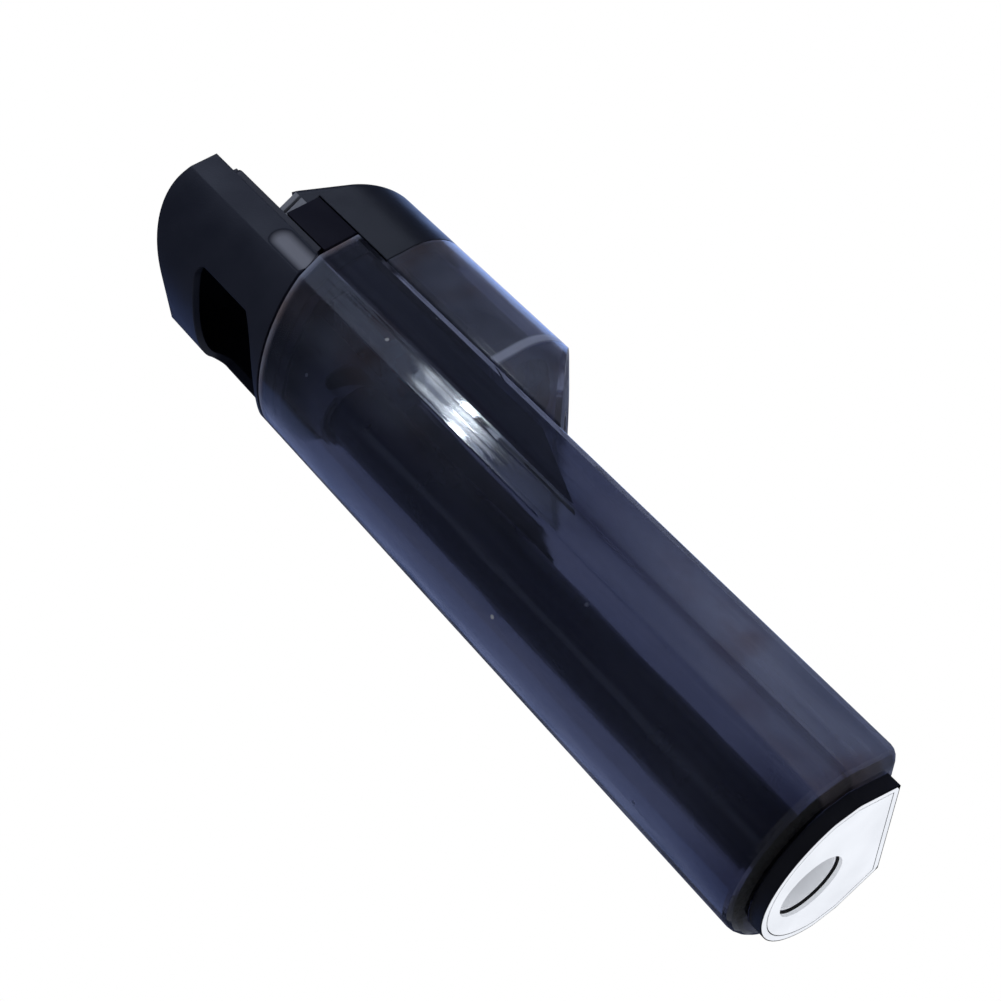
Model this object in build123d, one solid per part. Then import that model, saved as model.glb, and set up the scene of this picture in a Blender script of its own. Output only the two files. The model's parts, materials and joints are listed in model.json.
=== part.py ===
from build123d import *
import math
import os

# Dirty-water tank of an upright floor washer, standing on its base, front towards -Y, +Z up.
# Sizes are set out from the centre of the round front, in millimetres. The finished pieces are
# moved so that the origin is the middle of the overall plan, on the plane the base stands on.

# Plan of the tank
front_radius = 37.0
facet_depth = 1.0
half_width = front_radius - facet_depth
ridge_y = 2.3
side_taper = 8.0
back_half_width = half_width - side_taper
back_y = 23.0
ridge_radius = 1.2
wall = 2.2
floor_thickness = 3.0
bottom_edge_radius = 5.0
foot_steps = 5

# Base under the tank
base_height = 5.0
base_inset = 5.5
base_rim = 2.2
base_web = 2.0
base_rib = 1.6
pad_thickness = 1.2
pad_clearance = 0.3

# Slanted mouth of the tank and the lid seam above it
mouth_z = 265.6
mouth_angle = 20.8
seam_gap = 1.2

# Filter chamber that bulges out behind the tank
bulge_half_width = back_half_width
bulge_back_y = 56.0
bulge_corner = 22.0
bulge_seam_z = 257.0
bulge_root_z = 159.5
underside_angle = 48.5
shelf_z = 195.0
shelf_thickness = 2.0
outlet_radius = 8.0
outlet_along = 21.0

# Suction pipe
pipe_radius = 11.5
pipe_front_gap = 12.8
pipe_wall = 1.5
pipe_bottom_z = 2.0
socket_radius = 10.6
socket_depth = 18.0
pipe_top_z = 236.0
pipe_top_angle = 30.0
pipe_flange_radius = 15.0
pipe_flange_height = 2.0
pipe_seal_height = 1.2
inlet_seal_width = 3.5
inlet_seal_height = 1.5

# Lid plate, its plug and the duct block behind the handle
lid_plate = 3.0
plug_depth = 12.0
plug_gap = 1.0
plug_wall = 2.0
wing_bottom_z = 126.0
wing_angle = 67.0
gasket_clearance = 0.3
gasket_top = 3.0
gasket_height = 5.0
deck_rise = 25.0
duct_wall = 2.2
duct_window_half_width = 17.0
duct_window_height = 13.0

# Handle
handle_top_z = 334.0
handle_wall = 2.6
dome_radius = 25.0
handle_back_thickness = 2.8
handle_back_step = 1.6
handle_back_drop = 8.0
handle_back_corner = 5.0
plug_in_depth = 3.0
hole_half_width = 25.0
hole_bottom_z = 254.5
hole_bottom_rise = 15.5
hole_share = 0.624
hole_top_sag = 8.5
hole_tip_radius = 3.5
scoop_radius = 14.0
scoop_depth = 0.9
scoop_y = -3.2
scoop_rise = 30.0
boss_radius = 3.5
boss_height = 30.0
boss_gap = 2.7
boss_rib = 1.6
boss_y = -6.0
screw_radius = 1.6
screw_head_radius = 2.9
screw_head_height = 1.8
screw_length = 14.0

# Hood over the pipe and float valve behind it
hood_radius = 14.5
hood_wall = 1.5
hood_bottom_z = 227.0
hood_window_height = 9.0
hood_window_half_width = 7.0
cage_half_width = 17.0
cage_front_y = 2.4
cage_back_y = 17.2
cage_wall = 1.6
cage_bottom_z = 230.0
cage_slot_half_width = 11.0
cage_slot_half_depth = 3.4
float_clearance = 0.5
float_travel = 10.0
float_corner = 4.0
seat_z = 262.0
seat_height = 1.5
seat_half_width = 10.5
seat_half_depth = 5.4
seat_hole_half_width = 8.0
seat_hole_half_depth = 3.2

# Filter unit
cover_gap = 0.4
cover_wall = 2.2
cover_top_z = 308.0
cover_top_angle = 28.8
cover_edge_radius = 5.0
cover_front_y = 16.5
cover_slip = 0.3
tab_front_y = 6.8
tab_step = 6.0
tab_thickness = 7.5
tab_groove = 1.4
tab_groove_depth = 2.0
frame_gap = 4.3
frame_front_y = 29.0
frame_back_y = 50.0
frame_corner = 15.0
frame_wall = 1.6
frame_flange = 2.0
frame_bar = 1.6
seal_height = 2.0
seal_gap = 0.2
seal_overlap = 0.8
media_bottom_gap = 6.0
media_height = 34.0
media_thickness = 0.8
pleat_count = 9
foam_height = 8.0
push_gap = 0.2

# Shared working values
tank_bottom_z = base_height
floor_top_z = tank_bottom_z + floor_thickness
mouth_slope = math.tan(math.radians(mouth_angle))
bulge_top_z = bulge_seam_z + cover_gap
shelf_top_z = shelf_z + shelf_thickness
block_front_y = ridge_y + handle_back_thickness + 2 * cover_slip
handle_back_half_width = half_width - handle_back_step
handle_back_top_z = handle_top_z - handle_back_drop
scoop_top_z = mouth_z + scoop_rise
boss_x = half_width - handle_wall - boss_radius - boss_gap
tab_half_width = half_width - tab_step
frame_half_width = bulge_half_width - wall - frame_gap
pipe_y = pipe_radius + pipe_front_gap - front_radius
valve_y = (cage_front_y + cage_back_y) / 2
plug_inset = wall + plug_gap
far = handle_top_z + handle_top_z
middle_y = (bulge_back_y - front_radius) / 2

mouth_plane = Plane(
    origin=(0, 0, mouth_z),
    x_dir=(1, 0, 0),
    z_dir=(0, -math.sin(math.radians(mouth_angle)), math.cos(math.radians(mouth_angle))),
)
underside_plane = Plane(
    origin=(0, back_y, bulge_root_z),
    x_dir=(1, 0, 0),
    z_dir=(0, math.sin(math.radians(underside_angle)), -math.cos(math.radians(underside_angle))),
)
wing_plane = Plane(
    origin=(0, ridge_y, wing_bottom_z),
    x_dir=(1, 0, 0),
    z_dir=(0, math.sin(math.radians(wing_angle)), -math.cos(math.radians(wing_angle))),
)


def mouth_z_at(y):
    """Height of the slanted mouth at a place from front to back."""
    return mouth_z + mouth_slope * y


def above(plane, shift=0.0):
    """Everything on the outer side of a plane that is moved out by shift."""
    half_space = Box(far, far, far, align=(Align.CENTER, Align.CENTER, Align.MIN))
    return plane * Pos(0, 0, shift) * half_space


def above_mouth(rise=0.0):
    """Everything above the slanted mouth, raised straight up by rise."""
    return Pos(0, 0, rise) * above(mouth_plane)


def behind(y):
    """Everything further back than y."""
    half_space = Box(far, far, 2 * far, align=(Align.CENTER, Align.MIN, Align.CENTER))
    return Pos(0, y, 0) * half_space


def tank_plan(inset=0.0, corner=0.0):
    """Plan of the tank, moved in by inset: round front, flat facets, tapered sides and a flat back."""
    radius = front_radius - inset
    side_x = half_width - inset
    run_x = half_width - back_half_width
    run_y = back_y - ridge_y
    slant = math.hypot(run_x, run_y)
    facet_y = -math.sqrt(radius**2 - side_x**2)
    side_y = ridge_y - inset * (slant - run_y) / run_x
    rear_y = back_y - inset
    rear_x = half_width - (inset * slant + run_x * (run_y - inset)) / run_y
    front = ThreePointArc((-side_x, facet_y), (0, -radius), (side_x, facet_y))
    rest = Polyline(
        (side_x, facet_y),
        (side_x, side_y),
        (rear_x, rear_y),
        (-rear_x, rear_y),
        (-side_x, side_y),
        (-side_x, facet_y),
    )
    plan = make_face((front + rest).edges())
    if corner > 0:
        plan = fillet(plan.vertices().filter_by(lambda vertex: vertex.Y > 0), corner)
    return plan


def rounded_plan(half_x, front_y, rear_y, corner):
    """Plan with a square front and a back whose two corners are rounded."""
    turn = corner * math.sqrt(0.5)
    center_x = half_x - corner
    center_y = rear_y - corner
    right = ThreePointArc((half_x, center_y), (center_x + turn, center_y + turn), (center_x, rear_y))
    left = ThreePointArc((-center_x, rear_y), (-center_x - turn, center_y + turn), (-half_x, center_y))
    back = Line((center_x, rear_y), (-center_x, rear_y))
    front = Polyline((-half_x, center_y), (-half_x, front_y), (half_x, front_y), (half_x, center_y))
    return make_face((right + back + left + front).edges())


def bulge_plan(inset, front_y):
    """Plan of the filter chamber, moved in by inset at its sides and back."""
    return rounded_plan(bulge_half_width - inset, front_y, bulge_back_y - inset, bulge_corner - inset)


def frame_plan(inset):
    """Plan of the filter frame, moved in by inset all round."""
    return rounded_plan(
        frame_half_width - inset, frame_front_y + inset, frame_back_y - inset, frame_corner - inset
    )


def prism(plan, bottom_z, top_z):
    """Upright prism of a plan between two heights."""
    return Pos(0, 0, bottom_z) * extrude(plan, top_z - bottom_z)


def tube(outer_radius, inner_radius, bottom_z, top_z):
    """Upright ring on the suction pipe's axis."""
    height = top_z - bottom_z
    ring = Cylinder(outer_radius, height)
    if inner_radius > 0:
        ring -= Cylinder(inner_radius, height)
    return Pos(0, pipe_y, bottom_z + height / 2) * ring


def block(half_x, front_y, rear_y, bottom_z, top_z):
    """Box that is centred across X and set by its other four faces."""
    center = Pos(0, (front_y + rear_y) / 2, (bottom_z + top_z) / 2)
    return center * Box(2 * half_x, rear_y - front_y, top_z - bottom_z)


def valve_block(half_x, half_y, bottom_z, top_z):
    """Box that is centred on the float valve."""
    return block(half_x, valve_y - half_y, valve_y + half_y, bottom_z, top_z)


def rounded_foot():
    """Lowest part of the tank, whose outer edge rolls under in a few flat steps."""
    sections = []
    for step in range(foot_steps + 1):
        angle = math.radians(90 * step / foot_steps)
        inset = bottom_edge_radius * (1 - math.sin(angle))
        rise = bottom_edge_radius * (1 - math.cos(angle))
        sections.append(Pos(0, 0, tank_bottom_z + rise) * tank_plan(inset, ridge_radius))
    return loft(sections, ruled=True)


def tank_body():
    """Clear moulded tank: round-fronted chamber and the filter chamber behind it."""
    skin = tank_plan(0, ridge_radius)
    outer = rounded_foot() + prism(skin, tank_bottom_z + bottom_edge_radius, handle_top_z)
    outer -= above_mouth()
    bulge = prism(bulge_plan(0, back_y - wall), tank_bottom_z, bulge_seam_z) - above(underside_plane)
    water = prism(tank_plan(wall), floor_top_z, far)
    well = prism(bulge_plan(wall, back_y), shelf_top_z, far)
    wedge = prism(bulge_plan(wall, back_y), tank_bottom_z, shelf_z) - above(underside_plane, -wall)
    window = prism(frame_plan(frame_wall + seal_overlap), shelf_z, shelf_top_z)
    outlet = underside_plane * Pos(0, -outlet_along, -wall / 2) * Cylinder(outlet_radius, 2 * wall)
    pipe_hole = Pos(0, pipe_y, floor_top_z) * Cylinder(pipe_radius + push_gap, far)
    return outer + bulge - water - well - wedge - window - outlet - pipe_hole


def outlet_grille():
    """Round grille in the air outlet of the slanted underside."""
    ring_radius = outlet_radius - push_gap
    bar_length = 2 * outlet_radius - frame_wall
    ring = Cylinder(ring_radius, wall) - Cylinder(ring_radius - frame_wall, wall)
    bars = Box(bar_length, frame_bar, wall) + Box(frame_bar, bar_length, wall)
    return underside_plane * Pos(0, -outlet_along, -wall / 2) * (ring + bars)


def base_cover():
    """Base under the tank: a rimmed tray with cross ribs and a collar for the inlet."""
    plate = prism(tank_plan(base_inset), 0, base_height)
    recess = prism(tank_plan(base_inset + base_rim), 0, base_height - base_web)
    above_pad = pad_thickness + pad_clearance
    collar_radius = pipe_radius + inlet_seal_width + base_rim
    collar = tube(collar_radius, pipe_radius + push_gap, above_pad, base_height)
    ribs = block(base_rib / 2, -front_radius, back_y, above_pad, base_height)
    ribs += block(half_width, -base_rib / 2, base_rib / 2, above_pad, base_height)
    bore = Pos(0, pipe_y, base_height / 2) * Cylinder(pipe_radius + push_gap, base_height)
    seat = tube(pipe_radius + inlet_seal_width, pipe_radius, 0, base_height - base_web)
    return (plate - recess) + (ribs & recess) + collar - bore - seat


def base_pad():
    """Pale plate let into the base from below, open round the inlet."""
    plate = prism(tank_plan(base_inset + base_rim + pad_clearance), 0, pad_thickness)
    opening = tube(pipe_radius + pad_clearance, 0, 0, pad_thickness)
    return plate - opening


def inlet_seal():
    """Rubber ring round the suction inlet, up under the base."""
    top_z = base_height - base_web
    return tube(
        pipe_radius + inlet_seal_width, pipe_radius + push_gap, top_z - inlet_seal_height, top_z
    )


def suction_pipe():
    """Pipe from the inlet to the top of the tank, cut at a slant and flanged on the floor."""
    flange_z = floor_top_z + pipe_seal_height
    pipe = tube(pipe_radius, pipe_radius - pipe_wall, pipe_bottom_z, pipe_top_z)
    pipe += tube(pipe_flange_radius, pipe_radius - pipe_wall, flange_z, flange_z + pipe_flange_height)
    slant = Plane(
        origin=(0, pipe_y - pipe_radius, pipe_top_z),
        x_dir=(1, 0, 0),
        z_dir=(0, math.sin(math.radians(pipe_top_angle)), math.cos(math.radians(pipe_top_angle))),
    )
    socket = Pos(0, pipe_y, pipe_bottom_z) * Cylinder(socket_radius, 2 * socket_depth)
    return pipe - above(slant) - socket


def pipe_seal():
    """Sealing ring between the pipe's flange and the tank floor."""
    return tube(pipe_flange_radius, pipe_radius + push_gap, floor_top_z, floor_top_z + pipe_seal_height)


def lid_body():
    """Lid: plate and hollow plug in the mouth, guide wings along the sides, and the air duct block."""
    plug = prism(tank_plan(plug_inset), tank_bottom_z, far) - above_mouth(lid_plate)
    hollow = prism(tank_plan(plug_inset + plug_wall), tank_bottom_z, far) - above_mouth()
    plug = plug - hollow - (prism(tank_plan(), 0, far) - above_mouth(-plug_depth))
    wings = prism(tank_plan(plug_inset), wing_bottom_z, mouth_z)
    wings -= prism(tank_plan(plug_inset + plug_wall), wing_bottom_z, mouth_z)
    wings = (wings & behind(ridge_y)) - behind(back_y - plug_inset - plug_wall) - above(wing_plane)
    rim = prism(tank_plan(handle_wall + cover_slip), tank_bottom_z, far) & above_mouth(seam_gap)
    rim -= above_mouth(lid_plate)
    duct = prism(tank_plan(0, ridge_radius), tank_bottom_z, far) & above_mouth(seam_gap)
    duct = (duct & behind(block_front_y)) - above_mouth(deck_rise)
    duct_room = prism(tank_plan(duct_wall), tank_bottom_z, far) & above_mouth(lid_plate)
    duct_room = (duct_room & behind(block_front_y + duct_wall)) - above_mouth(deck_rise - duct_wall)
    window_z = mouth_z_at(back_y) + deck_rise - duct_wall
    window = block(
        duct_window_half_width,
        back_y - 2 * duct_wall,
        back_y + duct_wall,
        window_z - duct_window_height,
        window_z,
    )
    boss = block(seat_half_width + cage_wall, cage_front_y, cage_back_y, seat_z, far)
    boss = boss & prism(tank_plan(plug_inset + plug_wall / 2), tank_bottom_z, far)
    boss -= above_mouth(lid_plate)
    passage = valve_block(seat_hole_half_width, seat_hole_half_depth, seat_z, mouth_z_at(back_y))
    lid = plug + wings + rim + (duct - duct_room - window) + boss - passage
    for side in (-1, 1):
        screw_hole = Cylinder(screw_radius + seal_gap, 2 * plug_depth)
        lid -= screw_place(side) * screw_hole
    return lid


def screw_place(side):
    """Where a lid screw sits, square to the mouth, under the lid plate."""
    return mouth_plane * Pos(side * boss_x, boss_y / math.cos(math.radians(mouth_angle)), 0)


def lid_gasket():
    """Rubber band round the plug."""
    ring = prism(tank_plan(wall + gasket_clearance), tank_bottom_z, far)
    ring -= prism(tank_plan(wall + plug_gap), tank_bottom_z, far)
    ring = ring & above_mouth(-gasket_top - gasket_height)
    return ring - above_mouth(-gasket_top)


def handle_form(inset):
    """Handle as a filled form: round front, flat facets and a top that rolls over to the front."""
    front_y = -front_radius + inset
    top_z = handle_top_z - inset
    radius = dome_radius - inset
    turn = radius * math.sqrt(0.5)
    center_y = front_y + radius
    center_z = top_z - radius
    low_z = mouth_z_at(-front_radius) - dome_radius
    roll = ThreePointArc((front_y, center_z), (center_y - turn, center_z + turn), (center_y, top_z))
    rest = Polyline(
        (center_y, top_z),
        (ridge_y, top_z),
        (ridge_y, low_z),
        (front_y, low_z),
        (front_y, center_z),
    )
    profile = Plane.YZ * make_face((roll + rest).edges())
    side_view = extrude(profile, half_width, both=True)
    return side_view & prism(tank_plan(inset), tank_bottom_z, far)


def finger_hole():
    """Opening for the fingers in the front of the handle."""
    foot_z = mouth_z_at(-front_radius)
    hole_tip_z = foot_z + hole_share * (handle_top_z - foot_z)
    shoulder_z = hole_bottom_z + hole_bottom_rise
    right_x = hole_half_width
    left_x = -hole_half_width
    low = ThreePointArc((left_x, shoulder_z), (0, hole_bottom_z), (right_x, shoulder_z))
    sides = Line((right_x, shoulder_z), (right_x, hole_tip_z))
    sides += Line((left_x, hole_tip_z), (left_x, shoulder_z))
    top = ThreePointArc((right_x, hole_tip_z), (0, hole_tip_z - hole_top_sag), (left_x, hole_tip_z))
    outline = make_face((low + sides + top).edges())
    tips = outline.vertices().group_by(Axis.Y)[-1]
    outline = fillet(tips, hole_tip_radius)
    return Plane.XZ * extrude(outline, far) - behind(-pipe_radius)


def thumb_scoop(side):
    """Shallow scoop in a flat facet, open at the seam, where a thumb pulls the lid."""
    center_x = side * (half_width - scoop_depth + scoop_radius)
    round_z = scoop_top_z - scoop_radius
    shaft = Cylinder(scoop_radius, far, align=(Align.CENTER, Align.CENTER, Align.MAX))
    return Pos(center_x, scoop_y, round_z) * (shaft + Sphere(scoop_radius))


def handle_shell():
    """Hollow front handle with the finger hole, thumb scoops and screw bosses."""
    shell = (handle_form(0) & above_mouth(seam_gap)) - handle_form(handle_wall)
    bosses = Part()
    for side in (-1, 1):
        middle = screw_place(side) * Pos(0, 0, boss_height / 2)
        post = middle * Cylinder(boss_radius, boss_height)
        core = middle * Cylinder(screw_radius + seal_gap, boss_height)
        rib = middle * Pos(side * half_width / 2, 0, 0) * Box(half_width, boss_rib, boss_height)
        post = (post + rib) & above_mouth(lid_plate)
        post = post & prism(tank_plan(handle_wall / 2), tank_bottom_z, far)
        bosses += post - core
    shell = shell + bosses - finger_hole()
    return shell - thumb_scoop(-1) - thumb_scoop(1)


def handle_back():
    """Black panel that closes the back of the handle and plugs into it."""
    front_y = ridge_y + cover_slip / 2
    rear_y = front_y + handle_back_thickness
    panel = block(handle_back_half_width, front_y, rear_y, tank_bottom_z, handle_back_top_z)
    panel = fillet(panel.edges().filter_by(Axis.Y).group_by(Axis.Z)[-1], handle_back_corner)
    plug = handle_form(handle_wall + cover_slip) & behind(ridge_y - plug_in_depth)
    plug_half_width = half_width - handle_wall - 2 * cover_slip
    plug += block(plug_half_width, ridge_y - plug_in_depth, rear_y, tank_bottom_z, handle_back_top_z)
    for side in (-1, 1):
        plug -= screw_place(side) * Cylinder(boss_radius + 2 * cover_slip, far)
    return (panel + plug) & above_mouth(lid_plate)


def lid_screws():
    """Two screws that hold the handle to the lid plate, up through it from inside the plug."""
    screws = Part()
    for side in (-1, 1):
        head = Pos(0, 0, -screw_head_height / 2) * Cylinder(screw_head_radius, screw_head_height)
        shank = Pos(0, 0, screw_length / 2) * Cylinder(screw_radius, screw_length)
        slot = Box(2 * screw_head_radius, screw_radius / 2, screw_head_height)
        slot = Pos(0, 0, -screw_head_height) * slot
        screws += screw_place(side) * (head + shank - slot)
    return screws


def pipe_hood():
    """Hood under the lid that turns the water down out of the pipe, with side windows."""
    outer = Pos(0, pipe_y, 0) * Cylinder(hood_radius, far)
    inner = Pos(0, pipe_y, 0) * Cylinder(hood_radius - hood_wall, far)
    reach = prism(tank_plan(), hood_bottom_z, far)
    roof = above_mouth(-hood_wall)
    hood = ((outer & reach) - ((inner & reach) - roof)) - above_mouth()
    window_z = hood_bottom_z + hood_window_height
    window = Box(2 * hood_radius + hood_wall, 2 * hood_window_half_width, 2 * hood_window_height)
    window = fillet(window.edges().filter_by(Axis.X), hood_window_half_width / 2)
    return hood - Pos(0, pipe_y, window_z - hood_window_height) * window


def float_cage():
    """Open cage that guides the float below the valve seat."""
    half_depth = (cage_back_y - cage_front_y) / 2
    slot_bottom_z = cage_bottom_z + 2 * cage_wall
    slot_top_z = seat_z - seat_height
    cage = valve_block(cage_half_width, half_depth, cage_bottom_z, seat_z)
    floor_z = cage_bottom_z + cage_wall
    room = valve_block(cage_half_width - cage_wall, half_depth - cage_wall, floor_z, seat_z)
    across = valve_block(cage_slot_half_width, half_depth, slot_bottom_z, slot_top_z)
    along = valve_block(cage_half_width, cage_slot_half_depth, slot_bottom_z, slot_top_z)
    drain = valve_block(cage_slot_half_width, cage_slot_half_depth, cage_bottom_z, seat_z)
    return cage - room - across - along - drain


def valve_seat():
    """Silicone ring that the float closes when the tank is full."""
    ring = valve_block(seat_half_width, seat_half_depth, seat_z - seat_height, seat_z)
    hole = valve_block(seat_hole_half_width, seat_hole_half_depth, seat_z - seat_height, seat_z)
    return ring - hole


def float_block():
    """Float that rises in the cage until it meets the valve seat."""
    gap = cage_wall + float_clearance
    bottom_z = cage_bottom_z + cage_wall + float_clearance
    top_z = seat_z - seat_height - float_travel - float_clearance
    body = block(cage_half_width - gap, cage_front_y + gap, cage_back_y - gap, bottom_z, top_z)
    body = fillet(body.edges().filter_by(Axis.Z), float_corner)
    return fillet(body.edges().group_by(Axis.Z)[-1], float_corner / 2)


def cover_form(inset):
    """Filter cover as a filled form: chamber plan, a lip over the deck and a top that slopes back."""
    body = prism(bulge_plan(inset, back_y + cover_slip + inset), bulge_top_z, far)
    lip = block(bulge_half_width - inset, cover_front_y + inset, bulge_back_y / 2, bulge_top_z, far)
    body += lip & above_mouth(deck_rise + cover_gap + inset)
    slope = Plane(
        origin=(0, back_y, cover_top_z),
        x_dir=(1, 0, 0),
        z_dir=(0, math.sin(math.radians(cover_top_angle)), math.cos(math.radians(cover_top_angle))),
    )
    level = Plane(origin=(0, back_y, cover_top_z))
    return body - above(slope, -inset) - above(level, -inset)


def filter_cover():
    """Opaque cover over the filter chamber, hollow, with an air window to the lid duct."""
    outer = cover_form(0)
    top_edges = outer.edges().filter_by(lambda edge: edge.center().Z > cover_top_z - bulge_corner)
    back_edges = top_edges.filter_by(lambda edge: edge.center().Y > bulge_back_y - bulge_corner)
    outer = fillet(back_edges, cover_edge_radius)
    inner_plan = bulge_plan(cover_wall, back_y + cover_slip + cover_wall)
    room = prism(inner_plan, 0, far) & cover_form(cover_wall)
    room += prism(inner_plan, 0, bulge_top_z + cover_wall)
    window_z = mouth_z_at(back_y) + deck_rise - duct_wall
    window_back_y = back_y + cover_slip + 2 * cover_wall
    low_z = window_z - duct_window_height
    window = block(duct_window_half_width, back_y, window_back_y, low_z, window_z)
    return outer - room - window


def pull_tab():
    """Grey tab on the deck that pulls the filter out, grooved along its sides."""
    low_rise = deck_rise + cover_gap
    groove_rise = low_rise + tab_thickness / 2
    tab = block(tab_half_width, tab_front_y, cover_front_y, mouth_z_at(tab_front_y), far)
    tab = tab & above_mouth(low_rise) & prism(tank_plan(cover_slip), 0, far)
    tab -= above_mouth(low_rise + tab_thickness)
    groove = above_mouth(groove_rise) - above_mouth(groove_rise + tab_groove)
    core = prism(tank_plan(cover_slip + tab_step + tab_groove_depth), 0, far)
    return tab - (groove - core)


def filter_frame():
    """Filter frame: a tube with a floor grid and a flange that holds it in the cover."""
    bottom_z = shelf_top_z + seal_gap + seal_height
    flange_z = bulge_top_z + cover_wall
    frame = prism(frame_plan(0), bottom_z, flange_z)
    flange_inset = cover_wall + seal_gap
    flange_plan = bulge_plan(flange_inset, back_y + cover_slip + flange_inset)
    flange = prism(flange_plan, flange_z - frame_flange, flange_z)
    room = prism(frame_plan(frame_wall), bottom_z, flange_z)
    mid_y = (frame_front_y + frame_back_y) / 2
    half_bar = frame_bar / 2
    bar_top_z = bottom_z + frame_bar
    bars = block(half_bar, frame_front_y, frame_back_y, bottom_z, bar_top_z)
    bars += block(frame_half_width, mid_y - half_bar, mid_y + half_bar, bottom_z, bar_top_z)
    ledge_top_z = bottom_z + media_bottom_gap
    ledge = prism(frame_plan(0), ledge_top_z - frame_bar, ledge_top_z)
    ledge -= prism(frame_plan(frame_wall + seal_overlap), bottom_z, flange_z)
    return frame + flange - room + (bars & prism(frame_plan(0), bottom_z, flange_z)) + ledge


def filter_seal():
    """Rubber ring between the filter frame and the shelf of its chamber."""
    bottom_z = shelf_top_z + seal_gap
    ring = prism(frame_plan(-seal_overlap), bottom_z, bottom_z + seal_height)
    return ring - prism(frame_plan(frame_wall), bottom_z, bottom_z + seal_height)


def media_bottom():
    """Height of the underside of the pleats."""
    return shelf_top_z + seal_gap + seal_height + media_bottom_gap


def filter_media():
    """Pleated filter sheet, folded to and fro across the frame."""
    low = media_bottom()
    step = frame_half_width / pleat_count
    lower = []
    for fold in range(2 * pleat_count + 1):
        fold_z = low + (fold % 2) * (media_height - media_thickness)
        lower.append((fold * step - frame_half_width, fold_z))
    upper = [(x, z + 2 * media_thickness) for x, z in reversed(lower)]
    outline = Polyline(*lower, *upper, lower[0])
    sheet = Plane.XZ * extrude(make_face(outline.edges()), -far)
    sheet = sheet & prism(frame_plan(frame_wall + push_gap), low, low + media_height)
    return max(sheet.solids(), key=lambda solid: solid.volume)


def filter_foam():
    """Sponge block over the pleats."""
    low = media_bottom() + media_height
    return prism(frame_plan(frame_wall + push_gap), low, low + foam_height)


os.makedirs("parts", exist_ok=True)
nodes = {
    "tank_body": tank_body(),
    "outlet_grille": outlet_grille(),
    "base_cover": base_cover(),
    "base_pad": base_pad(),
    "inlet_seal": inlet_seal(),
    "suction_pipe": suction_pipe(),
    "pipe_seal": pipe_seal(),
    "lid_body": lid_body(),
    "lid_gasket": lid_gasket(),
    "lid_screws": lid_screws(),
    "handle_shell": handle_shell(),
    "handle_back": handle_back(),
    "pipe_hood": pipe_hood(),
    "float_cage": float_cage(),
    "valve_seat": valve_seat(),
    "float_block": float_block(),
    "filter_cover": filter_cover(),
    "pull_tab": pull_tab(),
    "filter_frame": filter_frame(),
    "filter_seal": filter_seal(),
    "filter_media": filter_media(),
    "filter_foam": filter_foam(),
}
for name, shape in nodes.items():
    export_step(Pos(0, -middle_y, 0) * shape, os.path.join("parts", name + ".step"))
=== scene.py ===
import json
import math

import bpy
from mathutils import Matrix, Vector

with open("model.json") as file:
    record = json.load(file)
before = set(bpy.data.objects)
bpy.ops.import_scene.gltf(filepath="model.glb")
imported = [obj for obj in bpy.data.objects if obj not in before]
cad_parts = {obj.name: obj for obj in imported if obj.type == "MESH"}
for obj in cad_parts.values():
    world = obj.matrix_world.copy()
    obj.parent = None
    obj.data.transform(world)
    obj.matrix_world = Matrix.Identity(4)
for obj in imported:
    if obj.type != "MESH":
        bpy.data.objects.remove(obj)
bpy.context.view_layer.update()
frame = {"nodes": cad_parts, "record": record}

nodes = frame["nodes"]

# Camera, fitted to the photo: it stands low and to the right of the front, and is rolled
camera_place = (0.4701, -0.2236, -0.1456)
camera_azimuth = 65.508
camera_drop = 30.361
camera_roll = -44.397
camera_lens = 65.83
camera_sensor = 36.0
camera_shift = (-0.00984, 0.01991)
camera_clip = (0.01, 50.0)

# Room light: what matte surfaces, mirrors, the clear plastic and the camera see of it
room_level = 0.40
room_low_level = 1.25
room_low_from = -0.12
room_tint = (0.94, 0.96, 1.0)
mirror_level = 0.085
mirror_tint = (0.50, 0.60, 1.0)
through_level = 0.43
through_tint = (0.80, 0.88, 1.10)
backdrop_level = 1.0
backdrop_tint = (1.0, 1.0, 1.0)

# Floor, with an opening under the base so that light reaches the underside
floor_size = 24.0
floor_glow = 0.72
floor_grey = 0.58
floor_grey_spread = 1.02
floor_patch_scale = 2.0
floor_opening_sides = 96

# Plan of the base that the opening follows
plan_center_y = -0.0095
base_front = 0.0312
base_half_width = 0.0302
base_back = 0.0172
base_taper = 0.0286
taper_normal = (0.9328, 0.3605)

# Places on the tank, pipe and handle that their looks follow
mouth_rim_z = 0.2692
mouth_slope = 0.380
chamber_y = 0.0137
shelf_z = 0.196
ridge_place = (0.036, -0.0066)
facet_front_y = -0.0178
pipe_axis = (0.0, -0.0222)
socket_reach = 0.0112
socket_top = 0.021
hood_low_z = 0.2266
hood_back_y = 0.012
scoop_x = (0.0352, 0.0359)
scoop_z = 0.281
scoop_half_height = 0.016
soft_border = 0.001
facing_down = -0.9

# Paler tones within one material: the pale underside, and painted light on the hood and in the thumb scoops
pad_pale = (0.80, 0.81, 0.83)
hood_painted_light = 0.38
scoop_light_colour = (0.26, 0.27, 0.32)

# Range that most of a noise's values lie in
noise_low = 0.35
noise_high = 0.65

# Surface of moulded pieces: grain, relief, clouds of tone and softness of edges
grain_scale = 1400.0
grain_detail = 2.0
grain_depth = 0.00003
fine_grain_depth = 0.000008
pleat_grain_depth = 0.0001
sponge_grain_depth = 0.0004
cloud_scale = 60.0
sheen_spread = 0.12
soft_edge = 0.0006
soft_edge_samples = 4
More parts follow.
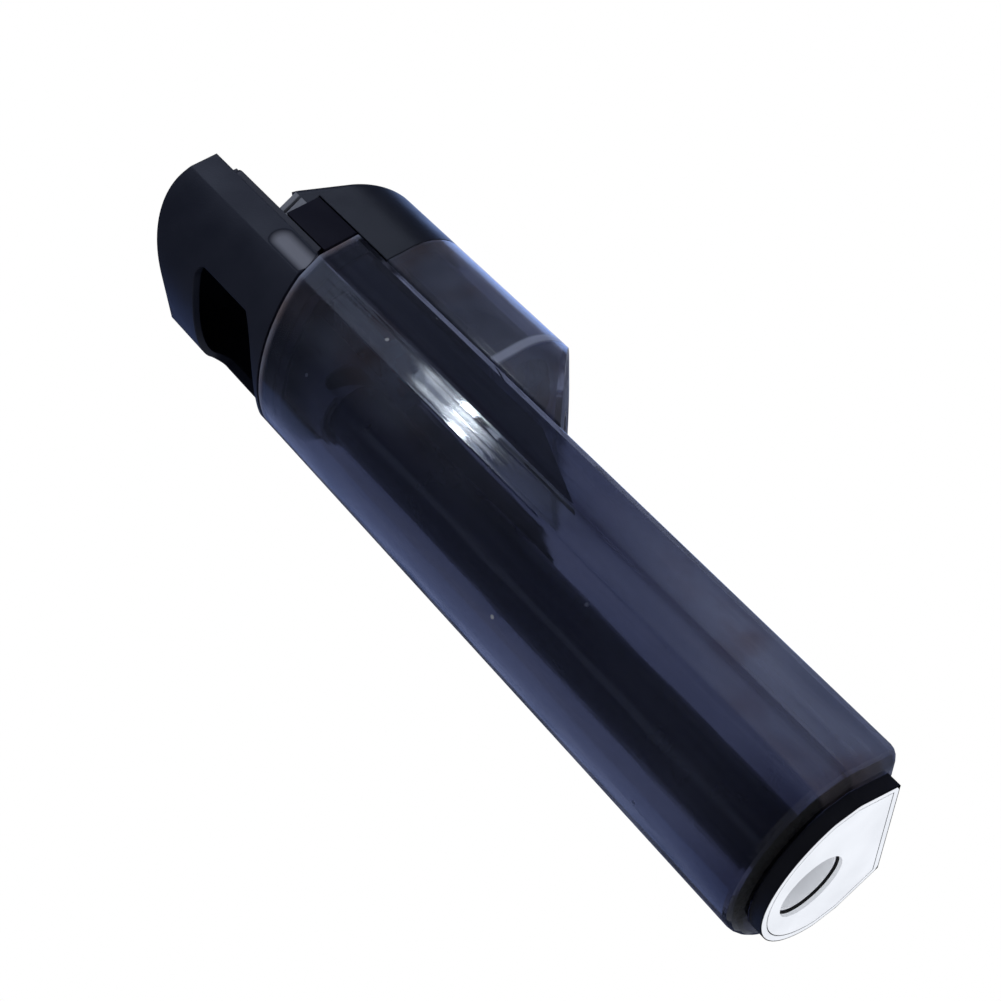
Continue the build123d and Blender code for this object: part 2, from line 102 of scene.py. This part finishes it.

# Clear plastic: tint, painted shade along the ridges and a darker foot, polish and relief
clear_dark = (0.25, 0.27, 0.37)
clear_light = (0.35, 0.36, 0.45)
ridge_shade_and_dark_foot = (0.12, 0.12, 0.19)
clear_index = 1.49
clear_specular = 0.5
ridge_core = 0.0012
ridge_reach = 0.0030
foot_share = 0.8
foot_low_z = 0.010
foot_high_z = 0.036
foot_border = 0.004
streak_scale = 70.0
streak_stretch = (1.0, 1.0, 0.12)
line_scale = 420.0
line_stretch = (1.0, 1.0, 0.05)
line_detail = 2.0
line_share = 0.07
polish_between_lines = (0.02, 0.06)
polish_on_lines = (0.08, 0.20)
wave_scale = 24.0
wave_detail = 1.0
wave_depth = 0.0016
wave_strength = 0.4

# Dull film on the clear plastic: how much of it lies where, and its tone; along the shelf, the mouth and the
# lower sides it is painted light
chamber_haze = (0.065, 0.15)
shelf_painted_highlight = 0.40
shelf_half_height = 0.0012
rim_painted_light = 0.40
rim_depth = 0.0028
film_haze = 0.055
film_side = (0.027, 0.033)
film_low_z = 0.13
film_high_z = 0.19
film_thinnest = 0.45
side_reflection_level = 0.27
side_reflection_low_z = 0.01
side_reflection_high_z = 0.13
side_streaks = (0.5, 1.3)
facet_share = 0.4
blotch_scale = 38.0
blotch_stretch = (1.0, 1.0, 0.7)
blotch_detail = 5.0
blotch_range = (0.40, 0.62)
film_pale = (0.62, 0.67, 0.86)
film_stain = (0.46, 0.38, 0.40)
stain_scale = 45.0
stain_detail = 4.0
stain_range = (0.48, 0.66)

# Specks of dust
speck_scale = 48.0
speck_size = 0.035
speck_colour = (0.42, 0.43, 0.45)

# Turned steel
steel_dark = (0.52, 0.52, 0.51)
steel_light = (0.66, 0.66, 0.65)
steel_sheen = (0.22, 0.38)
steel_scale = 900.0
steel_stretch = (1.0, 1.0, 8.0)

# Soft panels: name, place, aim, size, power, colour
tank_middle = (0.0, 0.0, 0.2)
handle_middle = (0.0, -0.01, 0.29)
panels = (
    ("handle_panel", (0.60, 0.26, 1.15), handle_middle, (0.5, 0.5), 1.15, (0.66, 0.74, 1.0)),
    ("left_panel", (-0.95, -0.60, 0.85), tank_middle, (1.1, 1.1), 1.1, (0.24, 0.38, 1.0)),
    ("back_panel", (-0.5, 1.05, 0.85), tank_middle, (0.7, 0.7), 3.0, (0.34, 0.50, 1.0)),
    ("front_panel", (0.55, -1.3, 0.75), tank_middle, (0.18, 0.7), 0.075, (0.55, 0.66, 1.0)),
    ("edge_panel", (-0.8, 0.72, 0.85), tank_middle, (0.18, 0.5), 0.25, (0.85, 0.90, 1.0)),
)

# Window panes that the flat facet mirrors: name, height on the facet, size, power, colour
facet_x = 0.036
facet_y = -0.0140
window_distance = 0.75
window_panes = (
    ("pane_sheen", 0.230, (0.05, 0.15), 0.018, (0.58, 0.70, 1.0)),
    ("pane_top", 0.187, (0.03, 0.02), 0.006, (0.66, 0.78, 1.0)),
    ("pane_main", 0.177, (0.034, 0.012), 0.11, (0.80, 0.89, 1.0)),
    ("pane_low", 0.166, (0.03, 0.014), 0.007, (0.66, 0.78, 1.0)),
    ("pane_tail", 0.146, (0.05, 0.07), 0.0075, (0.58, 0.70, 1.0)),
)


def camera_axes():
    """Right, up and back directions of the camera."""
    turn = math.radians(camera_azimuth)
    drop = math.radians(camera_drop)
    roll = math.radians(camera_roll)
    back = Vector((math.sin(turn) * math.cos(drop), -math.cos(turn) * math.cos(drop), -math.sin(drop)))
    level = Vector((math.cos(turn), math.sin(turn), 0.0))
    rise = back.cross(level)
    right = math.cos(roll) * level + math.sin(roll) * rise
    up = math.cos(roll) * rise - math.sin(roll) * level
    return right, up, back


def make_camera():
    data = bpy.data.cameras.new("camera")
    data.lens = camera_lens
    data.sensor_width = camera_sensor
    data.shift_x = camera_shift[0]
    data.shift_y = camera_shift[1]
    data.clip_start = camera_clip[0]
    data.clip_end = camera_clip[1]
    camera = bpy.data.objects.new("camera", data)
    turn = Matrix(camera_axes()).transposed().to_4x4()
    camera.matrix_world = Matrix.Translation(Vector(camera_place)) @ turn
    bpy.context.scene.collection.objects.link(camera)
    bpy.context.scene.camera = camera


class Tree:
    """A node tree with short calls to add and join nodes."""

    def __init__(self, tree):
        self.tree = tree
        self.tree.nodes.clear()

    def add(self, kind, settings=None, **inputs):
        node = self.tree.nodes.new(kind)
        for key, value in (settings or {}).items():
            setattr(node, key, value)
        for key, value in inputs.items():
            self.put(node, key.replace("_", " "), value)
        return node

    def put(self, node, key, value):
        """Joins an output to a socket, or sets the socket to a value."""
        socket = node.inputs[key] if isinstance(key, int) else self.socket(node, key)
        if isinstance(value, bpy.types.NodeSocket):
            self.tree.links.new(value, socket)
        else:
            socket.default_value = value

    def socket(self, node, key):
        for socket in node.inputs:
            if socket.name.lower() == key.lower() and socket.enabled:
                return socket
        raise KeyError(key)

    def math(self, operation, first, second=0.0):
        node = self.add("ShaderNodeMath", {"operation": operation})
        self.put(node, 0, first)
        self.put(node, 1, second)
        return node.outputs["Value"]

    def plus(self, first, second):
        return self.math("ADD", first, second)

    def minus(self, first, second):
        return self.math("SUBTRACT", first, second)

    def times(self, first, second):
        return self.math("MULTIPLY", first, second)

    def larger(self, first, second):
        return self.math("MAXIMUM", first, second)

    def magnitude(self, value):
        return self.math("ABSOLUTE", value)

    def below(self, value, limit):
        return self.math("LESS_THAN", value, limit)

    def above(self, value, limit):
        return self.math("GREATER_THAN", value, limit)

    def mapped(self, value, low, high, from_low=noise_low, from_high=noise_high):
        """The value brought from one range to another."""
        node = self.add("ShaderNodeMapRange", Value=value, From_Min=from_low, From_Max=from_high)
        self.put(node, "To Min", low)
        self.put(node, "To Max", high)
        return node.outputs["Result"]

    def switched(self, switch, off, on):
        """One value or the other, by a switch of 0 or 1."""
        return self.mapped(switch, off, on, 0.0, 1.0)

    def place(self):
        """The point in the object's own frame, in metres."""
        return self.add("ShaderNodeTexCoord").outputs["Object"]

    def axes(self):
        """X, Y and Z of the point in the object's own frame."""
        split = self.add("ShaderNodeSeparateXYZ", Vector=self.place())
        return split.outputs["X"], split.outputs["Y"], split.outputs["Z"]

    def plan_distance(self, x, y, center):
        """Distance in plan from an upright line."""
        run_x = self.math("POWER", self.minus(x, center[0]), 2.0)
        run_y = self.math("POWER", self.minus(y, center[1]), 2.0)
        return self.math("SQRT", self.plus(run_x, run_y))

    def noise(self, scale, stretch=(1.0, 1.0, 1.0), detail=3.0):
        """Noise in the object's own frame, squeezed along each axis by stretch."""
        shaped = self.add("ShaderNodeMapping", Vector=self.place(), Scale=stretch)
        node = self.add("ShaderNodeTexNoise", Vector=shaped.outputs["Vector"], Scale=scale, Detail=detail)
        return node.outputs["Fac"]

    def mix_colour(self, share, first, second):
        node = self.add("ShaderNodeMix", {"data_type": "RGBA"})
        self.put(node, 0, share)
        self.put(node, 6, first)
        self.put(node, 7, second)
        return node.outputs[2]

    def mix_shader(self, share, first, second):
        node = self.add("ShaderNodeMixShader")
        self.put(node, 0, share)
        self.put(node, 1, first)
        self.put(node, 2, second)
        return node.outputs["Shader"]

    def diffuse(self, colour):
        return self.add("ShaderNodeBsdfDiffuse", Color=colour).outputs["BSDF"]

    def bump(self, height, depth, strength=1.0, edge=0.0):
        """Relief of a height, over edges that are softened by a radius."""
        node = self.add("ShaderNodeBump", Strength=strength, Distance=depth, Height=height)
        if edge > 0:
            soft = self.add("ShaderNodeBevel", {"samples": soft_edge_samples}, Radius=edge)
            self.put(node, "Normal", soft.outputs["Normal"])
        return node.outputs["Normal"]


def rgba(colour):
    return (colour[0], colour[1], colour[2], 1.0)


def new_material(name):
    material = bpy.data.materials.new(name)
    material.use_nodes = True
    tree = Tree(material.node_tree)
    output = tree.add("ShaderNodeOutputMaterial")
    return material, tree, output


def moulded(name, dark, light, roughness, specular, depth=grain_depth, pale=None, pale_colour=None, edge=0.0):
    """Moulded plastic, rubber or filter cloth: fine grain, and slow clouds in colour and sheen."""
    material, tree, output = new_material(name)
    clouds = tree.noise(cloud_scale)
    grain = tree.noise(grain_scale, detail=grain_detail)
    colour = tree.mix_colour(tree.mapped(clouds, 0.0, 1.0), rgba(dark), rgba(light))
    # The paler colour: the pale underside, or painted light on the hood and in the thumb scoops
    if pale:
        colour = tree.mix_colour(pale(tree), colour, rgba(pale_colour))
    sheen = tree.mapped(clouds, roughness * (1 - sheen_spread), roughness * (1 + sheen_spread))
    shader = tree.add("ShaderNodeBsdfPrincipled", Base_Color=colour, Roughness=sheen)
    tree.put(shader, "Specular IOR Level", specular)
    tree.put(shader, "Normal", tree.bump(grain, depth, edge=edge))
    tree.put(output, "Surface", shader.outputs["BSDF"])
    return material


def scoop_painted_light(tree):
    """Painted light inside the thumb scoops, which face the light more than the facet that they are cut into.
    """
    x, y, z = tree.axes()
    cut = tree.mapped(tree.magnitude(x), 1.0, 0.0, scoop_x[0], scoop_x[1])
    within = tree.below(tree.magnitude(tree.minus(z, scoop_z)), scoop_half_height)
    on_facet = tree.above(y, facet_front_y)
    return tree.times(cut, tree.times(within, on_facet))


def handle_plastic():
    """Dark blue-grey of the handle, with painted light in the thumb scoops."""
    return moulded(
        "handle_plastic",
        dark=(0.0145, 0.0178, 0.033),
        light=(0.0190, 0.0228, 0.041),
        roughness=0.46,
        specular=0.40,
        pale=scoop_painted_light,
        pale_colour=scoop_light_colour,
        edge=soft_edge,
    )


def black_plastic():
    """Satin black of the lid, the handle's back and the grille."""
    return moulded(
        "black_plastic",
        dark=(0.010, 0.009, 0.017),
        light=(0.013, 0.012, 0.021),
        roughness=0.34,
        specular=0.40,
        depth=fine_grain_depth,
    )


def cover_plastic():
    """Satin black of the filter cover."""
    return moulded(
        "cover_plastic",
        dark=(0.008, 0.010, 0.019),
        light=(0.012, 0.015, 0.027),
        roughness=0.42,
        specular=0.45,
        edge=soft_edge,
    )


def underside(tree):
    """Where a surface faces straight down."""
    normal = tree.add("ShaderNodeNewGeometry").outputs["Normal"]
    rise = tree.add("ShaderNodeSeparateXYZ", Vector=normal).outputs["Z"]
    return tree.below(rise, facing_down)


def base_plastic():
    """Dark base with a pale underside."""
    return moulded(
        "base_plastic",
        dark=(0.008, 0.008, 0.013),
        light=(0.012, 0.012, 0.018),
        roughness=0.50,
        specular=0.40,
        pale=underside,
        pale_colour=pad_pale,
        edge=soft_edge,
    )


def pad_plastic():
    """Pale plate in the base."""
    return moulded("pad_plastic", dark=(0.77, 0.78, 0.80), light=pad_pale, roughness=0.55, specular=0.30)


def socket_lining(tree):
    """Inside of the suction inlet, low down in the pipe."""
    x, y, z = tree.axes()
    inside = tree.below(tree.plan_distance(x, y, pipe_axis), socket_reach)
    return tree.times(inside, tree.below(z, socket_top))


def hood_light_and_lining(tree):
    """Paler parts of the dark pipe plastic: painted light on the hood under the lid, and the pale lining of
    the inlet.
    """
    x, y, z = tree.axes()
    # Painted light on the hood, as a paler share of its colour
    hood = tree.times(tree.above(z, hood_low_z), tree.below(y, hood_back_y))
    return tree.larger(tree.times(hood, hood_painted_light), socket_lining(tree))


def pipe_plastic():
    """Navy black of the pipe, hood, float cage and filter frame, with painted light on the hood."""
    return moulded(
        "pipe_plastic",
        dark=(0.002, 0.003, 0.030),
        light=(0.003, 0.005, 0.042),
        roughness=0.30,
        specular=0.50,
        pale=hood_light_and_lining,
        pale_colour=pad_pale,
    )


def seal_rubber():
    """Matte black of the seals and the gasket."""
    return moulded(
        "seal_rubber",
        dark=(0.008, 0.008, 0.008),
        light=(0.012, 0.012, 0.012),
        roughness=0.70,
        specular=0.30,
        depth=fine_grain_depth,
    )


def silicone():
    """Red-brown valve seat."""
    return moulded(
        "silicone",
        dark=(0.12, 0.035, 0.022),
        light=(0.17, 0.05, 0.03),
        roughness=0.50,
        specular=0.40,
    )


def float_plastic():
    """Dull red float."""
    return moulded(
        "float_plastic",
        dark=(0.22, 0.035, 0.022),
        light=(0.30, 0.05, 0.03),
        roughness=0.45,
        specular=0.40,
    )


def tab_plastic():
    """Light grey pull tab."""
    return moulded(
        "tab_plastic",
        dark=(0.22, 0.23, 0.26),
        light=(0.27, 0.28, 0.31),
        roughness=0.40,
        specular=0.45,
        edge=soft_edge,
    )


def filter_paper():
    """Used paper of the pleats."""
    return moulded(
        "filter_paper",
        dark=(0.10, 0.095, 0.085),
        light=(0.17, 0.16, 0.14),
        roughness=0.90,
        specular=0.20,
        depth=pleat_grain_depth,
    )


def filter_sponge():
    """Dark open foam."""
    return moulded(
        "filter_sponge",
        dark=(0.03, 0.03, 0.032),
        light=(0.07, 0.07, 0.075),
        roughness=0.95,
        specular=0.10,
        depth=sponge_grain_depth,
    )


def screw_steel():
    """Turned steel of the lid's screws."""
    material, tree, output = new_material("screw_steel")
    turned = tree.noise(steel_scale, stretch=steel_stretch)
    sheen = tree.mapped(turned, steel_sheen[0], steel_sheen[1])
    colour = tree.mix_colour(turned, rgba(steel_dark), rgba(steel_light))
    shader = tree.add("ShaderNodeBsdfPrincipled", Base_Color=colour, Roughness=sheen, Metallic=1.0)
    tree.put(output, "Surface", shader.outputs["BSDF"])
    return material


def chamber_film(tree, y, z, blotch):
    """Patchy film in the filter chamber, and a painted highlight: a pale line along the shelf."""
    inside = tree.mapped(y, 0.0, 1.0, chamber_y, chamber_y + soft_border)
    patches = tree.mapped(blotch, chamber_haze[0], chamber_haze[1], 0.0, 1.0)
    from_shelf = tree.magnitude(tree.minus(z, shelf_z))
    # Painted highlight along the shelf
    shelf = tree.mapped(from_shelf, shelf_painted_highlight, 0.0, shelf_half_height, 2 * shelf_half_height)
    return tree.times(inside, tree.plus(patches, shelf))


def rim_light_band(tree, y, z):
    """Painted light: a pale band along the slanted mouth, where the thick rim catches light."""
    below_mouth = tree.minus(tree.times(y, mouth_slope), z)
    return tree.mapped(below_mouth, rim_painted_light, 0.0, -mouth_rim_z, rim_depth - mouth_rim_z)


def facet_film(tree, x, y, z, blotch):
    """Thin patchy film high on the facets, in front of the ridges."""
    in_front = tree.mapped(y, 1.0, 0.0, ridge_place[1], ridge_place[1] + soft_border)
    high = tree.mapped(z, 0.0, film_haze, film_low_z, film_high_z)
    aside = tree.mapped(tree.magnitude(x), 0.0, 1.0, film_side[0], film_side[1])
    patches = tree.mapped(blotch, film_thinnest, 1.0, 0.0, 1.0)
    return tree.times(tree.times(high, in_front), tree.times(aside, patches))


def side_painted_reflection(tree, y, z, streaks):
    """Painted reflection: a streaky pale film low on the tapered sides, and less of it on the facets."""
    on_side = tree.mapped(y, 0.0, 1.0, ridge_place[1], ridge_place[1] + soft_border)
    on_facet = tree.mapped(y, 0.0, facet_share, facet_front_y, facet_front_y + soft_border)
    low = tree.mapped(z, side_reflection_level, 0.0, side_reflection_low_z, side_reflection_high_z)
    patches = tree.mapped(streaks, side_streaks[0], side_streaks[1])
    return tree.times(tree.larger(on_side, on_facet), tree.times(low, patches))


def haze_share(tree, streaks):
    """How much of the dull film lies on each place of the clear plastic; along the shelf, the mouth and the
    lower sides it is painted light.
    """
    x, y, z = tree.axes()
    blotch = tree.noise(blotch_scale, stretch=blotch_stretch, detail=blotch_detail)
    blotch = tree.mapped(blotch, 0.0, 1.0, blotch_range[0], blotch_range[1])
    behind_and_rim = tree.plus(chamber_film(tree, y, z, blotch), rim_light_band(tree, y, z))
    front_and_side = tree.plus(facet_film(tree, x, y, z, blotch), side_painted_reflection(tree, y, z, streaks))
    return tree.plus(behind_and_rim, front_and_side)


def dull_film(tree):
    """Pale film with brownish stains, which along the shelf, the mouth and the lower sides is painted light.
    """
    stain = tree.noise(stain_scale, detail=stain_detail)
    stain = tree.mapped(stain, 0.0, 1.0, stain_range[0], stain_range[1])
    return tree.diffuse(tree.mix_colour(stain, rgba(film_pale), rgba(film_stain)))


def wall_tint(tree, streaks):
    """Smoky tint in slow streaks, with painted shade along the ridges, and darker at the foot of the round
    front.
    """
    tint = tree.mix_colour(tree.mapped(streaks, 0.0, 1.0), rgba(clear_dark), rgba(clear_light))
    x, y, z = tree.axes()
    from_ridge = tree.plan_distance(tree.magnitude(x), y, ridge_place)
    # Painted shade in a line along each ridge
    ridge = tree.mapped(from_ridge, 1.0, 0.0, ridge_core, ridge_reach)
    foot = tree.mapped(z, foot_share, 0.0, foot_low_z, foot_high_z)
    on_front = tree.mapped(y, 1.0, 0.0, facet_front_y - foot_border, facet_front_y)
    return tree.mix_colour(tree.larger(ridge, tree.times(foot, on_front)), tint, rgba(ridge_shade_and_dark_foot))


def wall_relief(tree, lines):
    """Soft waves from the mould, with fine upright lines on them."""
    waves = tree.noise(wave_scale, detail=wave_detail)
    return tree.bump(tree.plus(tree.times(lines, line_share), waves), wave_depth, wave_strength)


def clear_wall(tree, tint, streaks):
    """Polished clear plastic, a little rougher on its fine lines."""
    lines = tree.noise(line_scale, stretch=line_stretch, detail=line_detail)
    smooth = tree.mapped(streaks, polish_between_lines[0], polish_between_lines[1])
    rough = tree.mapped(streaks, polish_on_lines[0], polish_on_lines[1])
    polish = tree.mapped(lines, smooth, rough)
    shader = tree.add("ShaderNodeBsdfPrincipled", Base_Color=tint, Roughness=polish, IOR=clear_index)
    tree.put(shader, "Transmission Weight", 1.0)
    tree.put(shader, "Specular IOR Level", clear_specular)
    tree.put(shader, "Normal", wall_relief(tree, lines))
    return shader.outputs["BSDF"]


def dusted(tree, clean):
    """A few small specks of dust over a clean shader."""
    cells = tree.add("ShaderNodeTexVoronoi", Vector=tree.place(), Scale=speck_scale)
    near = tree.below(cells.outputs["Distance"], speck_size)
    return tree.mix_shader(near, clean, tree.diffuse(rgba(speck_colour)))


def smoky_clear():
    """Clear smoky blue-grey plastic, with painted shade along the ridges, under a thin dull film that is
    painted light in places; it lets tinted light pass in shadows.
    """
    material, tree, output = new_material("smoky_clear")
    streaks = tree.noise(streak_scale, stretch=streak_stretch)
    tint = wall_tint(tree, streaks)
    wall = clear_wall(tree, tint, streaks)
    hazed = tree.mix_shader(haze_share(tree, streaks), wall, dull_film(tree))
    through = tree.add("ShaderNodeBsdfTransparent", Color=tint).outputs["BSDF"]
    in_shadow = tree.add("ShaderNodeLightPath").outputs["Is Shadow Ray"]
    lit = tree.mix_shader(in_shadow, hazed, through)
    tree.put(output, "Surface", dusted(tree, lit))
    return material


material_makers = (
    smoky_clear,
    handle_plastic,
    black_plastic,
    cover_plastic,
    base_plastic,
    pad_plastic,
    pipe_plastic,
    seal_rubber,
    silicone,
    float_plastic,
    tab_plastic,
    filter_paper,
    filter_sponge,
    screw_steel,
)


def dress_nodes():
    """Gives each node the material of its slot in the record."""
    materials = {make.__name__: make() for make in material_makers}
    for row in frame["record"]["subparts"]:
        mesh = nodes[row["node"]].data
        mesh.materials.clear()
        mesh.materials.append(materials[row["material_slot"]])


def make_world():
    """White to the camera; to everything else a soft grey room that is brighter low down."""
    world = bpy.data.worlds.new("room")
    bpy.context.scene.world = world
    world.use_nodes = True
    tree = Tree(world.node_tree)
    output = tree.add("ShaderNodeOutputWorld")
    direction = tree.add("ShaderNodeTexCoord").outputs["Generated"]
    height = tree.add("ShaderNodeSeparateXYZ", Vector=direction).outputs["Z"]
    path = tree.add("ShaderNodeLightPath").outputs
    level = tree.mapped(height, room_low_level, room_level, room_low_from, 0.0)
    level = tree.switched(path["Is Glossy Ray"], level, mirror_level)
    level = tree.switched(path["Is Transmission Ray"], level, through_level)
    level = tree.switched(path["Is Camera Ray"], level, backdrop_level)
    colour = tree.mix_colour(path["Is Glossy Ray"], rgba(room_tint), rgba(mirror_tint))
    colour = tree.mix_colour(path["Is Transmission Ray"], colour, rgba(through_tint))
    colour = tree.mix_colour(path["Is Camera Ray"], colour, rgba(backdrop_tint))
    room = tree.add("ShaderNodeBackground", Color=colour, Strength=level)
    tree.put(output, "Surface", room.outputs["Background"])


def floor_material():
    """White floor that takes the shadow from above and isn't there from below."""
    material, tree, output = new_material("floor_white")
    grey = tree.mapped(tree.noise(floor_patch_scale), floor_grey, floor_grey * floor_grey_spread)
    colour = tree.add("ShaderNodeCombineColor", Red=grey, Green=grey, Blue=grey)
    glow = tree.times(tree.add("ShaderNodeLightPath").outputs["Is Camera Ray"], floor_glow)
    above = tree.add("ShaderNodeAddShader")
    tree.put(above, 0, tree.diffuse(colour.outputs["Color"]))
    tree.put(above, 1, tree.add("ShaderNodeEmission", Strength=glow).outputs["Emission"])
    clear = tree.add("ShaderNodeBsdfTransparent").outputs["BSDF"]
    from_below = tree.add("ShaderNodeNewGeometry").outputs["Backfacing"]
    tree.put(output, "Surface", tree.mix_shader(from_below, above.outputs["Shader"], clear))
    return material


def base_reach(across, along):
    """Distance from the plan's centre to the edge of the base in one direction."""
    towards_taper = taper_normal[0] * abs(across) + taper_normal[1] * along
    share = max(1 / base_front, abs(across) / base_half_width, along / base_back, towards_taper / base_taper)
    return 1 / share


def make_floor():
    """Square floor with an opening that follows the base."""
    sides = floor_opening_sides
    inner = []
    outer = []
    faces = []
    for step in range(sides):
        angle = 2 * math.pi * step / sides
        across = math.cos(angle)
        along = math.sin(angle)
        reach = floor_size / 2 / max(abs(across), abs(along))
        edge = base_reach(across, along)
        inner.append((edge * across, plan_center_y + edge * along, 0.0))
        outer.append((reach * across, reach * along, 0.0))
        after = (step + 1) % sides
        faces.append((step, sides + step, sides + after, after))
    mesh = bpy.data.meshes.new("floor")
    mesh.from_pydata(inner + outer, [], faces)
    mesh.materials.append(floor_material())
    floor = bpy.data.objects.new("floor", mesh)
    bpy.context.scene.collection.objects.link(floor)


def area_lamp(name, place, aim, size, power, colour):
    """Rectangular lamp that shows in mirrors but not through the clear plastic."""
    data = bpy.data.lights.new(name, "AREA")
    data.shape = "RECTANGLE"
    data.size = size[0]
    data.size_y = size[1]
    data.energy = power
    data.color = colour
    lamp = bpy.data.objects.new(name, data)
    lamp.location = Vector(place)
    lamp.visible_transmission = False
    facing = Vector(place) - Vector(aim)
    lamp.rotation_mode = "QUATERNION"
    lamp.rotation_quaternion = facing.to_track_quat("Z", "Y")
    bpy.context.scene.collection.objects.link(lamp)


def mirrored_place(point, distance):
    """Where a lamp has to be for the camera to see it mirrored at a point of the flat facet."""
    seen_from = Vector(camera_place)
    seen_from.x = 2 * facet_x - seen_from.x
    away = (Vector(point) - seen_from).normalized()
    return Vector(point) + away * distance


def make_lamps():
    """Window panes mirrored in the facet, and soft panels over the handle and round the tank."""
    for name, height, size, power, colour in window_panes:
        point = (facet_x, facet_y, height)
        area_lamp(name, mirrored_place(point, window_distance), point, size, power, colour)
    for name, place, aim, size, power, colour in panels:
        area_lamp(name, place, aim, size, power, colour)


make_camera()
make_world()
make_floor()
make_lamps()
dress_nodes()

bpy.context.scene.view_settings.view_transform = "Standard"
